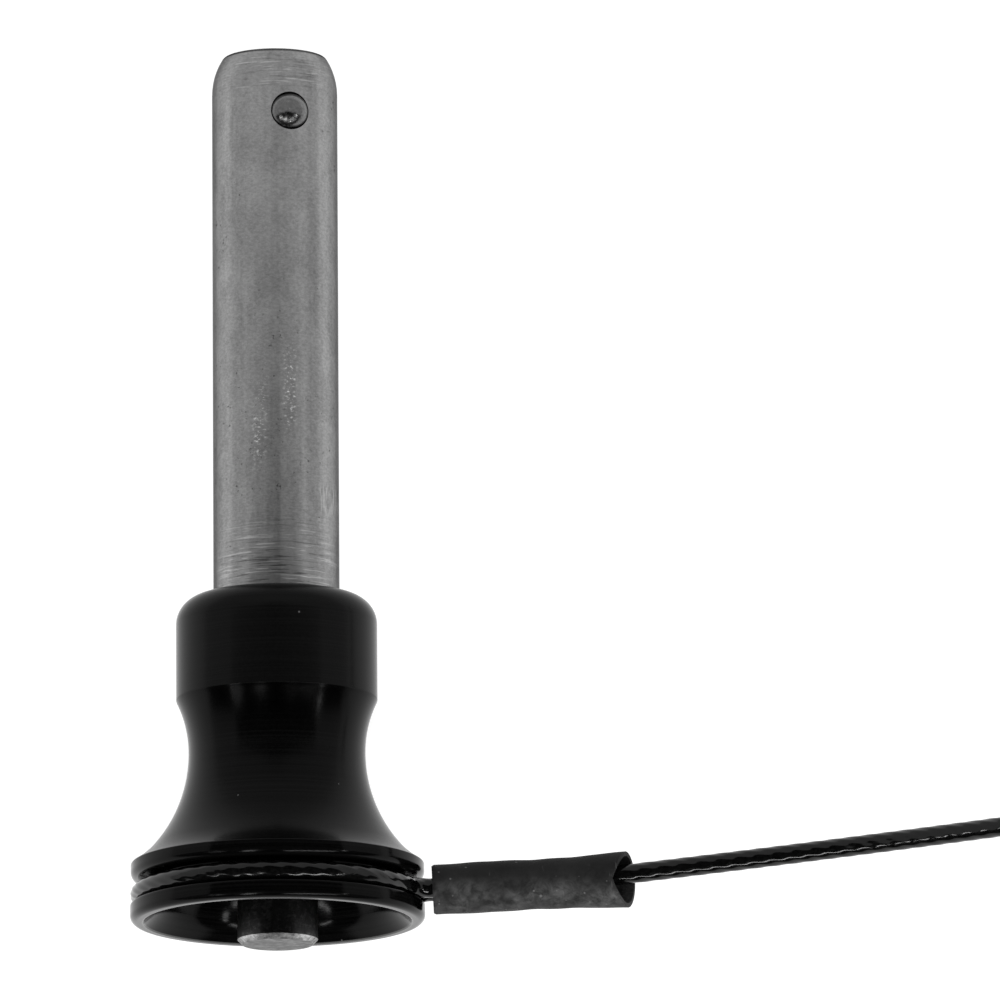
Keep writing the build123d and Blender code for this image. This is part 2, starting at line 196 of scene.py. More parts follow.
# how far each widens to its mouth, and (from, over) along it
SLEEVE_FLARE = 0.3
HANDLE_FLARE = (13.5, 6.5)
FAR_FLARE = (13, 7)
BORE_FLARE = 0.37
BORE_FLARE_ALONG = (13, 6)
SLEEVE_SWELL = 0.04
SLEEVE_SWELL_OVER = 3
CUT_REACH = 5
CUT_NOTCH = 0.85
CUT_LONGER = 0.2
TUCK = 0.14
TUCK_OVER = 0.2
RIM_SHARE = 0.6
WOBBLE_ROUND = 0.9
WOBBLE_ALONG = 0.35
# (seed, size)
HANDLE_WOBBLE = (3.1, 0.09)
FAR_WOBBLE = (8.4, 0.05)
SLEEVE_ROUTE = [
    CRIMP_START,
    Vector((22.41, -39.79, 16.88)),
    Vector((28.79, -39.5, 16.95)),
    Vector((34.93, -39.34, 18.5)),
]
END_SLEEVE_LENGTH = 20.0
END_EYE_R = 5.9
END_EYE_BEND_R = 4.0
END_FOOT = WIND_CENTRE + WAY_OUT * WIND_TOP_R + BESIDE * TAIL_RUN + Vector((0, 0, SLEEVE_MOUTH_R))
END_TOP = END_FOOT + BESIDE * END_SLEEVE_LENGTH + Vector((0, 0, SLEEVE_R - SLEEVE_MOUTH_R))
END_WAY = (END_FOOT - END_TOP).normalized()
END_REACHES = (8, 14)
EYE_POINTS = 18

# ---- light: reaches in metres, turns and rises in degrees
WORLD_LEVEL = 0.8
FLOOR_REACH = 3.0
FLOOR_DROP = 0.02
FLOOR_GLOW = 0.86
FLOOR_TINT = 0.3
CARD_SHADE = 0.01
CARD_HEIGHT = 110
CARD = [(-120, -125), (120, -125), (120, 18), (34, 27), (9, 37), (-9, 37), (-34, 27), (-120, 18)]
SCREEN_REACH = 0.9
SCREEN_RISES = (3, 56)
SCREEN_TURN = 80
SCREEN_STEPS = 12
LAMP_REACH = 0.7
LAMP_LEVEL = 19.0
# azimuth, rise, width and height
LAMPS = {
    "left": (54, 35, 18, 5),
    "middle": (22, 42, 9, 18),
    "right": (-28, 35, 45, 5),
    "high": (-24, 50, 5, 7),
    "edge": (-70, 35, 8, 5),
}


def add_camera():
    """The camera, far off and nearly overhead, rolled a little."""
    camera = bpy.data.objects.new("camera", bpy.data.cameras.new("camera"))
    bpy.context.collection.objects.link(camera)
    back = (EYE - AIM).normalized()
    right = Vector((1, 0, 0))
    up = back.cross(right)
    rolled_right = right * cos(ROLL) - up * sin(ROLL)
    rolled_up = right * sin(ROLL) + up * cos(ROLL)
    turn = Matrix((rolled_right, rolled_up, back)).transposed().to_4x4()
    camera.matrix_world = Matrix.Translation(EYE) @ turn
    camera.data.sensor_width = SENSOR
    camera.data.lens = LENS
    camera.data.clip_start, camera.data.clip_end = CLIP_METRES
    bpy.context.scene.camera = camera


# ---- materials
SOCKETS = {"metallic": "Metallic", "specular": "Specular IOR Level", "tint": "Specular Tint"}


def opaque(shade):
    """A colour, or a grey given as one number, with its alpha."""
    return (*shade, 1) if isinstance(shade, tuple) else (shade, shade, shade, 1)


class Nodes:
    """A material's node tree, with short calls for what the materials here use."""

    def __init__(self, name):
        self.material = bpy.data.materials.new(name)
        self.material.use_nodes = True
        self.tree = self.material.node_tree
        self.shader = self.tree.nodes["Principled BSDF"]
        self.row = self.tree.nodes.new("ShaderNodeTexCoord").outputs["Object"]
        mapping = self.tree.nodes.new("ShaderNodeMapping")
        mapping.vector_type = "TEXTURE"
        mapping.inputs["Location"].default_value = PIN.to_translation()
        mapping.inputs["Rotation"].default_value = PIN.to_euler()
        self.tree.links.new(self.row, mapping.inputs["Vector"])
        self.pin = mapping.outputs["Vector"]

    def feed(self, value, socket):
        """Links another node's output to a socket, or sets a number, grey or colour on it."""
        if isinstance(value, bpy.types.NodeSocket):
            self.tree.links.new(value, socket)
        elif socket.type == "RGBA":
            socket.default_value = opaque(value)
        else:
            socket.default_value = value

    def math(self, operation, first, second=0.0, clamp=False):
        """One sum of two numbers, or of one for the operations that take one."""
        node = self.tree.nodes.new("ShaderNodeMath")
        node.operation = operation
        node.use_clamp = clamp
        self.feed(first, node.inputs[0])
        self.feed(second, node.inputs[1])
        return node.outputs[0]

    def rise(self, value, start, over):
        """0 where a place is short of a start, rising to 1 over a length: both in millimetres."""
        return self.math("DIVIDE", self.math("SUBTRACT", value, start * MM), over * MM, clamp=True)

    def band(self, value, centre, half, soft):
        """1 where a place is within half of a centre, fading to 0 over soft: all in millimetres."""
        away = self.math("ABSOLUTE", self.math("SUBTRACT", value, centre * MM))
        left = self.math("SUBTRACT", (half + soft) * MM, away)
        return self.math("DIVIDE", left, soft * MM, clamp=True)

    def product(self, first, *rest):
        """All its factors multiplied together."""
        for factor in rest:
            first = self.math("MULTIPLY", first, factor)
        return first

    def scaled(self, vector, scale):
        """The vector with each of its parts times its own number."""
        node = self.tree.nodes.new("ShaderNodeVectorMath")
        node.operation = "MULTIPLY"
        self.feed(vector, node.inputs[0])
        node.inputs[1].default_value = scale
        return node.outputs[0]

    def parts(self, vector):
        """The vector's own X, Y and Z."""
        node = self.tree.nodes.new("ShaderNodeSeparateXYZ")
        self.feed(vector, node.inputs[0])
        return node.outputs

    def joined(self, x, y, z):
        """A vector made of its X, Y and Z."""
        node = self.tree.nodes.new("ShaderNodeCombineXYZ")
        for value, socket in zip((x, y, z), node.inputs):
            self.feed(value, socket)
        return node.outputs[0]

    def around(self):
        """Distance from the pin's axis and distance along it, in metres."""
        x, y, z = self.parts(self.pin)
        square = self.math("ADD", self.product(x, x), self.product(y, y))
        return self.math("SQRT", square), z

    def rings(self, reach, along, **how):
        """Noise that is the same all round the pin's axis, as turning leaves it."""
        return self.noise(self.joined(reach, 0.0, along), **how)

    def noise(self, vector, scale=1.0, detail=3.0, rough=0.55, distortion=0.0):
        """Soft noise about 0.5, by features to the metre."""
        node = self.tree.nodes.new("ShaderNodeTexNoise")
        self.feed(vector, node.inputs["Vector"])
        node.inputs["Scale"].default_value = scale
        node.inputs["Detail"].default_value = detail
        node.inputs["Roughness"].default_value = rough
        node.inputs["Distortion"].default_value = distortion
        return node.outputs["Fac"]

    def cells(self, vector, scale, chance, size):
        """Scattered round spots, 1 at their middles: chance is the share of cells that have one."""
        node = self.tree.nodes.new("ShaderNodeTexVoronoi")
        self.feed(vector, node.inputs["Vector"])
        node.inputs["Scale"].default_value = scale
        inside = self.math("SUBTRACT", size, node.outputs["Distance"])
        spot = self.math("DIVIDE", inside, size * SPOT_EDGE, clamp=True)
        pick = self.math("LESS_THAN", self.parts(node.outputs["Color"])[0], chance)
        return self.math("MULTIPLY", spot, pick)

    def ramp(self, value, *stops):
        """A value or colour by stops of (position, number or colour)."""
        node = self.tree.nodes.new("ShaderNodeValToRGB")
        self.feed(value, node.inputs[0])
        elements = node.color_ramp.elements
        while len(elements) < len(stops):
            elements.new(0.5)
        for element, (position, shade) in zip(elements, stops):
            element.position = position
            element.color = opaque(shade)
        return node.outputs["Color"]

    def mix(self, share, first, second):
        """The first colour with a share of the second in it."""
        node = self.tree.nodes.new("ShaderNodeMix")
        node.data_type = "RGBA"
        self.feed(share, node.inputs["Factor"])
        for value, key in ((first, "A"), (second, "B")):
            self.feed(value, next(s for s in node.inputs if s.name == key and s.type == "RGBA"))
        return next(s for s in node.outputs if s.type == "RGBA")

    def lay(self, color, shade, mask, share):
        """The colour with a share of another over it, where a mask says."""
        return self.mix(self.product(mask, share), color, shade)

    def bump(self, height, strength, distance):
        """A normal bent by a height, whose full rise is a distance in millimetres."""
        node = self.tree.nodes.new("ShaderNodeBump")
        node.inputs["Strength"].default_value = strength
        node.inputs["Distance"].default_value = distance * MM
        self.feed(height, node.inputs["Height"])
        return node.outputs["Normal"]

    def turned(self, share):
        """Gloss drawn out across the rings that turning leaves round the pin's axis."""
        out = self.tree.nodes.new("ShaderNodeVectorMath")
        out.operation = "SUBTRACT"
        self.feed(self.row, out.inputs[0])
        out.inputs[1].default_value = RIM
        ring = self.tree.nodes.new("ShaderNodeVectorMath")
        ring.operation = "CROSS_PRODUCT"
        ring.inputs[0].default_value = TIP_WAY
        self.feed(out.outputs[0], ring.inputs[1])
        self.feed(ring.outputs[0], self.shader.inputs["Tangent"])
        self.shader.inputs["Anisotropic"].default_value = share
        self.shader.inputs["Anisotropic Rotation"].default_value = 0.25

    def finish(self, color, roughness, normal, **constants):
        """Links what varies to the shader and sets what doesn't on its own sockets."""
        for value, key in ((color, "Base Color"), (roughness, "Roughness"), (normal, "Normal")):
            self.feed(value, self.shader.inputs[key])
        for key, value in constants.items():
            self.feed(value, self.shader.inputs[SOCKETS[key]])
        return self.material


def shank_material():
    """Turned stainless steel, drawn along its length and handled, with rings near the collar."""
    n = Nodes("shank_steel")
    across, down, along = n.parts(n.pin)
    streaks = n.noise(n.scaled(n.pin, (1100, 1100, 16)))
    clouds = n.noise(n.scaled(n.pin, (380, 380, 210)), detail=5, rough=0.68, distortion=0.6)
    lines = n.noise(n.scaled(n.pin, (260, 260, 5200)), detail=2, rough=0.7)
    grain = n.noise(n.scaled(n.pin, (2600, 2600, 4200)), detail=4, rough=0.7)
    streaked = n.ramp(streaks, (0.34, 0.22), (0.66, 0.35))
    color = n.mix(0.55, streaked, n.ramp(clouds, (0.34, 0.19), (0.64, 0.37)))
    color = n.mix(0.26, color, n.ramp(grain, (0.35, 0.08), (0.65, 0.44)))

    # turned rings, dark and bright, by the collar and at the tip, and a dark line at the tip's edge
    near_collar = n.band(along, COLLAR_RINGS_Z, 2.2, 5.5)
    near_tip = n.band(along, TIP_MARKS_Z, 0.7, 1.8)
    worked = n.math("MAXIMUM", near_collar, n.product(near_tip, 0.6))
    worked = n.product(worked, n.band(across, 0.0, 2.8, 4.0))
    marks = n.ramp(lines, (0.36, 0.0), (0.42, 0.5), (0.58, 0.5), (0.64, 1.0))
    color = n.lay(color, n.ramp(marks, (0.0, 0.04), (0.5, 0.28), (1.0, 0.75)), worked, 0.6)
    color = n.lay(color, 0.02, n.band(along, TIP_EDGE_Z, 0.05, 0.12), 0.8)

    # painted glints: two patches of pale flecks, one each side of the dark band, on the upper side
    beside = n.band(n.math("ABSOLUTE", across), GLINTS_X, 0.3, 0.6)
    skewed = n.math("SUBTRACT", along, n.product(across, GLINTS_SKEW))
    upper_side = n.math("LESS_THAN", down, 0.0)
    painted_glints = n.product(beside, n.band(skewed, GLINTS_Z, 2.0, 2.8), upper_side)
    color = n.lay(color, 0.85, painted_glints, n.ramp(grain, (0.56, 0.0), (0.66, 1.0)))

    # a scratched patch at the right edge
    scratches = n.noise(n.scaled(n.pin, (6000, 6000, 500)), detail=2)
    scratches = n.ramp(scratches, (0.42, 0.0), (0.5, 0.5), (0.58, 1.0))
    scratched = n.product(
        n.band(across, SCRATCHED_X, 0.6, 0.8), n.band(along, SCRATCHED_Z, 0.8, 1.0)
    )
    worn = n.ramp(scratches, (0.0, 0.06), (0.5, 0.28), (1.0, 0.7))
    color = n.lay(color, worn, scratched, 0.3)

    # pits with uneven outlines, and pocked patches
    pocks = n.ramp(n.noise(n.pin, scale=2300), (0.64, 0.0), (0.71, 1.0))
    patches = n.ramp(n.noise(n.pin, scale=110, detail=2), (0.52, 0.0), (0.6, 1.0))
    uneven = n.joined(
        n.math("ADD", across, n.product(grain, PIT_UNEVEN * MM)),
        down,
        n.math("ADD", along, n.product(streaks, PIT_UNEVEN * MM)),
    )
    pits = n.math("MAXIMUM", n.cells(uneven, 900, 0.08, 0.11), n.cells(uneven, 300, 0.05, 0.06))
    pits = n.math("MAXIMUM", pits, n.product(pocks, patches))
    color = n.lay(color, 0.03, pits, 0.7)

    height = n.math("ADD", n.product(lines, 0.45), n.product(grain, 0.6))
    n.turned(0.8)
    return n.finish(
        color,
        n.ramp(streaks, (0.25, 0.29), (0.75, 0.36)),
        n.bump(n.math("SUBTRACT", height, pits), 0.35, 0.015),
        metallic=1.0,
        tint=0.3,
    )


def button_material():
    """Turned steel: rings and pale flecks on its end, a painted highlight on the chamfer and
    painted shade on the side.
    """
    n = Nodes("button_steel")
    reach, along = n.around()
    rings = n.rings(n.product(reach, 7000), n.product(along, 5000), detail=2)
    grain = n.noise(n.pin, scale=2600, detail=4)
    cloud = n.noise(n.pin, scale=500)
    flecks = n.noise(n.scaled(n.pin, (1300, 2200, 2200)), detail=4, rough=0.7)
    ringed = n.ramp(rings, (0.3, 0.1), (0.7, 0.18))
    color = n.mix(0.5, ringed, n.ramp(grain, (0.3, 0.12), (0.7, 0.18)))
    color = n.mix(0.4, color, n.ramp(cloud, (0.35, 0.11), (0.65, 0.19)))
    color = n.lay(color, 0.42, n.ramp(flecks, (0.5, 0.0), (0.62, 1.0)), 0.7)
    # painted highlight: the chamfer is paler
    chamfer = n.band(along, BUTTON_END_Z + BUTTON_CHAMFER / 2, 0.2, 0.08)
    color = n.lay(color, 0.5, chamfer, n.ramp(flecks, (0.38, 0.1), (0.6, 1.0)))
    # painted shade: the side is darker
    side = n.math("GREATER_THAN", along, (BUTTON_END_Z + BUTTON_CHAMFER) * MM)
    color = n.lay(color, 0.045, side, 0.65)
    return n.finish(
        color,
        n.ramp(grain, (0.2, 0.26), (0.8, 0.36)),
        n.bump(rings, 0.3, 0.02),
        metallic=1.0,
        tint=0.45,
    )


def inner_steel_material():
    """The plain bright steel of the inner pieces."""
    n = Nodes("inner_steel")
    reach, along = n.around()
    rings = n.rings(n.product(reach, 6000), n.product(along, 6000), detail=2)
    color = n.ramp(rings, (0.3, 0.38), (0.7, 0.52))
    return n.finish(color, 0.32, n.bump(rings, 0.25, 0.02), metallic=1.0)


def ball_material():
    """A polished hard ball, a little scuffed."""
    n = Nodes("ball_steel")
    scuffs = n.noise(n.row, scale=2200, detail=4, distortion=1.5)
    return n.finish(
        n.ramp(scuffs, (0.35, 0.11), (0.75, 0.19)),
        n.ramp(scuffs, (0.3, 0.16), (0.8, 0.3)),
        n.bump(scuffs, 0.25, 0.02),
        metallic=1.0,
    )


def handle_material():
    """Black anodised aluminium with turning marks, a rubbed mouth, a little dust and painted shade
    on the neck.
    """
    n = Nodes("handle_black")
    reach, along = n.around()
    rings = n.rings(n.product(reach, 2500), n.product(along, 5000), rough=0.75)
    grain = n.noise(n.pin, scale=3500, detail=4)
    ringed = n.ramp(rings, (0.42, 0.0003), (0.66, 0.0045))
    color = n.mix(0.5, ringed, n.ramp(grain, (0.3, 0.0005), (0.75, 0.002)))
    rubbed = n.product(n.band(along, RIM_Z, 0.1, 0.08), n.band(reach, MOUTH_R, 0.1, 0.08))
    color = n.lay(color, 0.1, rubbed, 0.9)
    dust = n.math("MAXIMUM", n.cells(n.pin, 420, 0.07, 0.05), n.cells(n.pin, 800, 0.03, 0.08))
    color = n.lay(color, 0.12, dust, 0.8)

    # painted shade: the neck darkens from the waist to the collar's edge, and the collar is a
    # little lighter
    below_edge = n.math("LESS_THAN", along, COLLAR_EDGE_Z * MM)
    neck = n.rise(along, WAIST_Z, NECK_FADE)
    color = n.lay(color, 0.0001, n.product(neck, below_edge), 0.9)
    color = n.lay(color, 0.006, n.math("SUBTRACT", 1.0, below_edge), 0.3)

    # the lips are glossier than the rest
    roughness = n.mix(
        n.band(along, LIPS_Z, LIPS_HALF, 0.4),
        n.ramp(grain, (0.25, 0.2), (0.75, 0.26)),
        n.ramp(grain, (0.25, 0.12), (0.75, 0.18)),
    )
    height = n.math("ADD", rings, n.product(grain, 0.4))
    n.turned(0.75)
    return n.finish(color, roughness, n.bump(height, 0.3, 0.015), specular=0.075)


def rope_material():
    """The rope's glossy black coating. Its ridges are in the mesh."""
    n = Nodes("rope_black")
    grain = n.noise(n.row, scale=3000, detail=3)
    return n.finish(
        n.ramp(grain, (0.3, 0.001), (0.7, 0.003)),
        n.ramp(grain, (0.3, 0.09), (0.7, 0.15)),
        n.bump(grain, 0.12, 0.02),
        specular=0.28,
    )


def sleeve_material():
    """Matt shrunk tube, with painted light on the rim's side in a mottled pattern, pale specks and
    rubbed marks.
    """
    n = Nodes("sleeve_black")
    side = n.parts(n.row)[1]
    dust = n.noise(n.row, scale=900, detail=6, rough=0.7, distortion=0.4)
    cloud = n.noise(n.row, scale=260, detail=4)
    scuffs = n.noise(n.scaled(n.row, (1500, 260, 260)), distortion=0.8)
    dull = n.ramp(dust, (0.35, 0.006), (0.7, 0.022))
    color = n.mix(0.5, dull, n.ramp(cloud, (0.35, 0.008), (0.7, 0.022)))
    # painted light: the rim's side is paler, in a mottled pattern
    painted_light = n.product(
        n.rise(side, LIT_SIDE_Y, -LIT_SIDE_FADE),
        n.ramp(cloud, (0.35, 0.15), (0.6, 1.0)),
        n.ramp(dust, (0.38, 0.1), (0.66, 1.0)),
    )
    color = n.lay(color, 0.115, painted_light, 0.75)
    color = n.lay(color, 0.12, n.ramp(scuffs, (0.67, 0.0), (0.73, 1.0)), 0.3)
    specks = n.math("MAXIMUM", n.cells(n.row, 1800, 0.14, 0.22), n.cells(n.row, 800, 0.1, 0.14))
    color = n.lay(color, 0.18, specks, 0.4)
    roughness = n.ramp(dust, (0.3, 0.6), (0.7, 0.8))
    return n.finish(color, roughness, n.bump(dust, 0.4, 0.05), specular=0.15)


def ferrule_material():
    """Dull crimped aluminium."""
    n = Nodes("ferrule_metal")
    grain = n.noise(n.row, scale=1800, detail=4)
    return n.finish(
        n.ramp(grain, (0.3, 0.3), (0.7, 0.48)),
        n.ramp(grain, (0.3, 0.4), (0.7, 0.6)),
        n.bump(grain, 0.3, 0.03),
        metallic=1.0,
    )


def spring_material():
    """Drawn spring wire, faintly blued."""
    n = Nodes("spring_steel")
    grain = n.noise(n.row, scale=2500, detail=3)
    color = n.ramp(grain, (0.3, (0.3, 0.3, 0.32)), (0.7, (0.44, 0.44, 0.46)))
    return n.finish(color, 0.35, n.bump(grain, 0.15, 0.02), metallic=1.0)


# ---- meshes
def new_piece(name, verts, faces, material, slot):
    """A mesh piece of the pin's body in the row frame, from points in metres."""
    mesh = bpy.data.meshes.new(name)
    mesh.from_pydata([tuple(v) for v in verts], [], faces)
    work = bmesh.new()
    work.from_mesh(mesh)
    bmesh.ops.recalc_face_normals(work, faces=work.faces)
    work.to_mesh(mesh)
    work.free()
    mesh.shade_smooth()
    mesh.set_sharp_from_angle(angle=radians(50))
    piece = bpy.data.objects.new(name, mesh)
    bpy.context.collection.objects.link(piece)
    mesh.materials.append(material)
    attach(piece, "pin")
    return piece


def arc(centre, radius, start, end, steps):
    """Points of an arc in a profile, from one angle to another, in degrees."""
    angles = [radians(start + (end - start) * k / steps) for k in range(steps + 1)]
    return [(centre[0] + radius * cos(a), centre[1] + radius * sin(a)) for a in angles]


def line(start, end, steps):
    """Points along a straight stretch of a profile."""
    run, climb = end[0] - start[0], end[1] - start[1]
    shares = [k / steps for k in range(steps + 1)]
    return [(start[0] + run * share, start[1] + climb * share) for share in shares]


def arc_from(start, heading, end, steps):
    """The arc that leaves one point of a profile on a heading and ends at another."""
    chord = (end[0] - start[0], end[1] - start[1])
    half = atan2(chord[1], chord[0]) - heading
    radius = hypot(*chord) / 2 / sin(abs(half))
    normal = heading + (pi / 2 if half > 0 else -pi / 2)
    centre = (start[0] + radius * cos(normal), start[1] + radius * sin(normal))
    first = degrees(normal + pi)
    return arc(centre, radius, first, first + degrees(2 * half), steps)


def handle_profile():
    """The handle's section: radius and distance along the axis, from the mouth's edge."""
    flare_centre = (WAIST_R + FLARE_R, WAIST_Z)
    neck_centre = (WAIST_R + NECK_R, WAIST_Z)
    neck_turn = degrees(acos((neck_centre[0] - COLLAR_R) / NECK_R))
    foot_turn = degrees(asin((WAIST_Z - FLARE_FOOT_Z) / FLARE_R))
    seat = ROPE_SEAT_R + GROOVE_FILLET
    lower_round_r = LOWER_LIP_R - LOWER_LIP_ROUND
    lower_round_z = RIM_Z + LOWER_LIP_ROUND
    chamfer_r = LOWER_LIP_R - LOWER_LIP_CHAMFER
    chamfer_z = LOWER_LIP_TOP - LOWER_LIP_CHAMFER
    lip_edge = UPPER_LIP_R - UPPER_LIP_ROUND
    crest = arc((UPPER_LIP_R - CREST_R, CREST_Z), CREST_R, 0, CREST_TURN, 5)
    flare = arc(flare_centre, FLARE_R, 180 + foot_turn, 180, 26)
    bore_r = SHANK_R + FIT_GAP
    tail_r = TAIL_R + FIT_GAP
    round_z = COLLAR_TOP - COLLAR_ROUND
    points = [
        *arc((MOUTH_R + EDGE_R, RIM_Z + EDGE_R), EDGE_R, 200, 270, 3),
        *line((MOUTH_R + MOUTH_EDGE, RIM_Z), (lower_round_r, RIM_Z), 4),
        *arc((lower_round_r, lower_round_z), LOWER_LIP_ROUND, -90, 0, 10),
        *line((LOWER_LIP_R, lower_round_z), (LOWER_LIP_R, chamfer_z), 4),
        *arc((chamfer_r, chamfer_z), LOWER_LIP_CHAMFER, 0, 90, 4),
        *line((chamfer_r, LOWER_LIP_TOP), (seat, LOWER_LIP_TOP), 4),
        *arc((seat, LOWER_LIP_TOP + GROOVE_FILLET), GROOVE_FILLET, 270, 180, 3),
        *arc((seat, GROOVE_TOP - GROOVE_FILLET), GROOVE_FILLET, 180, 90, 3),
        *line((seat, GROOVE_TOP), (lip_edge, GROOVE_TOP), 3),
        *arc((lip_edge, GROOVE_TOP + UPPER_LIP_ROUND), UPPER_LIP_ROUND, -90, 0, 12),
        *line((UPPER_LIP_R, GROOVE_TOP + UPPER_LIP_ROUND), (UPPER_LIP_R, CREST_Z), 4),
        *crest,
        *arc_from(crest[-1], radians(CREST_TURN + 90), flare[0], 10),
        *flare,
        *arc(neck_centre, NECK_R, 180, 180 - neck_turn + NECK_SHORT, 14),
        *arc((COLLAR_R - EDGE_R, COLLAR_EDGE_Z + EDGE_R), EDGE_R, -45, 0, 2),
        *line((COLLAR_R, COLLAR_EDGE_Z + COLLAR_EDGE), (COLLAR_R, round_z), 10),
        *arc((COLLAR_R - COLLAR_ROUND, round_z), COLLAR_ROUND, 0, 90, 16),
        *line((COLLAR_R - COLLAR_ROUND, COLLAR_TOP), (bore_r, COLLAR_TOP), 3),
        *line((bore_r, COLLAR_TOP), (bore_r, SEAT_Z), 2),
        *line((bore_r, SEAT_Z), (tail_r, SEAT_Z), 2),
        *line((tail_r, SEAT_Z), (tail_r, CUP_FLOOR[1]), 4),
        *line((tail_r, CUP_FLOOR[1]), CUP_FLOOR, 3),
        *arc_from(CUP_FLOOR, atan2(CUP_DISH[1], CUP_DISH[0]), CUP_SHOULDER, 14),
        *line(CUP_SHOULDER, (MOUTH_R, RIM_Z + EDGE_R), 3)[:-1],
    ]
    pairs = zip(points[-1:] + points, points)
    return [b for a, b in pairs if hypot(b[0] - a[0], b[1] - a[1]) > LEAST_STEP]


def quads(rings, count, closed):
    """Faces between rings of count points each, and from the last ring to the first when closed."""
    faces = []
    for k in range(rings if closed else rings - 1):
        here, there = k * count, (k + 1) % rings * count
        for s in range(count):
            t = (s + 1) % count
            faces.append((here + s, here + t, there + t, there + s))
    return faces


def lathe(profile, turns):
    """Vertices and faces of a closed profile turned about the pin's axis."""
    verts = []
    for k in range(turns):
        angle = 2 * pi * k / turns
        verts += [PIN @ (Vector((r * cos(angle), r * sin(angle), z)) * MM) for r, z in profile]
    return verts, quads(turns, len(profile), closed=True)


def way_at(points, k):
    """The way that a line of points runs at one of them."""
    return (points[min(k + 1, len(points) - 1)] - points[max(k - 1, 0)]).normalized()


def sweep(points, ring_of, segments):
    """A closed tube along points in metres.

    ring_of(distance along it, angle) is its radius there, both lengths in millimetres.
    """
    side = (points[1] - points[0]).orthogonal().normalized()
    verts = []
    gone = 0.0
    for k, point in enumerate(points):
        way = way_at(points, k)
        side = (side - way * side.dot(way)).normalized()
        across = way.cross(side)
        if k:
            gone += (point - points[k - 1]).length / MM
        for s in range(segments):
            angle = 2 * pi * s / segments
            reach = ring_of(gone, angle) * MM
            verts.append(point + (side * cos(angle) + across * sin(angle)) * reach)
    caps = [tuple(reversed(range(segments))), tuple(range(len(verts) - segments, len(verts)))]
    return verts, caps + quads(len(points), segments, closed=False)


def spline_points(name, route, step):
    """Points in metres, a step apart, along the smooth line of a route in millimetres."""
    data = bpy.data.curves.new(name, "CURVE")
    data.dimensions = "3D"
    spline = data.splines.new("NURBS")
    spline.points.add(len(route) - 1)
    for control, point in zip(spline.points, route):
        control.co = (*(point * MM), 1)
    spline.order_u = 3
    spline.use_endpoint_u = True
    data.resolution_u = 24
    holder = bpy.data.objects.new(name, data)
    bpy.context.collection.objects.link(holder)
    mesh = bpy.data.meshes.new_from_object(holder)
    read = [v.co.copy() for v in mesh.vertices]
    bpy.data.objects.remove(holder)
    bpy.data.meshes.remove(mesh)
    return evenly(read, step)


def evenly(points, step):
    """The same line with its points a step apart."""
    even = [points[0]]
    left = step
    for a, b in zip(points, points[1:]):
        length = (b - a).length
        at = left
        while at < length:
            even.append(a.lerp(b, at / length))
            at += step
        left = at - length
    if (even[-1] - points[-1]).length > step / 2:
        even.append(points[-1])
    return even


def strand_relief(gone, angle):
    """The rope's radius: six strands laid round it show through the coating."""
    wave = cos(STRANDS * (angle - 2 * pi * gone / LAY))
    return ROPE_R * (1 - RELIEF / 2 + RELIEF / 2 * wave)


def rope_piece(name, points):
    """A length of rope along points in metres."""
    return new_piece(name, *sweep(points, strand_relief, ROPE_SEGMENTS), ROPE, "rope_black")


def pin_point(x, y, z):
    """A place given in the pin's frame, in millimetres in the row's."""
    return PIN @ (Vector((x, y, z)) * MM) / MM


def pin_way(x, y, z):
    """A direction given in the pin's frame, in the row's."""
    return PIN_AXES @ Vector((x, y, z))


def eased(value, start=0, over=1):
    """0 to 1 from a start on, over a length, with a soft start and end."""
    share = min(max((value - start) / over, 0), 1)
    return share * share * (3 - 2 * share)


# ---- the lanyard's lines and radii
def wound(turn):
    """(radius, height) of the rope's centre in the coil, after so many turns."""
    radius = WIND_OUTER_R + (WIND_INNER_R - WIND_OUTER_R) * eased(turn, *WIND_INWARD)
    radius += (WIND_TOP_R - WIND_INNER_R) * eased(turn, *WIND_OUTWARD)
    low, high = ROPE_R + WIND_GAPS[0], WIND_TOP_Z + WIND_GAPS[1]
    return radius, low + (high - low) * eased(turn, *WIND_UPWARD)


def rope_route():
    """The free rope's route: out of the crimp, down to the surface, and round into its coil."""
    entry = WIND_CENTRE - BESIDE * WIND_OUTER_R + Vector((0, 0, ROPE_R))
    route = [CRIMP_START + CRIMP_WAY * GRIP_FOOT, *(Vector(p) for p in ROPE_ROUTE), entry]
    stretch = 1 / cos(pi / POINTS_A_TURN)
    for k in range(WIND_QUARTERS * POINTS_A_TURN // 4):
        turn = (k + 0.5) / POINTS_A_TURN
        radius, height = wound(turn)
        angle = HEADING - pi / 2 + 2 * pi * turn
        reach = radius * stretch
        route.append(WIND_CENTRE + Vector((cos(angle) * reach, sin(angle) * reach, height)))
    route.append(END_TOP + END_WAY * GRIP_FOOT)
    return route


def corner_x(radius, bend, level):
    """Where a strand's straight run would meet the eye's tangent, past its bend."""
    reach = sqrt((radius + bend) ** 2 - level**2)
    turn = acos(abs(level) / (radius + bend))
    return reach - bend * tan(turn / 2)


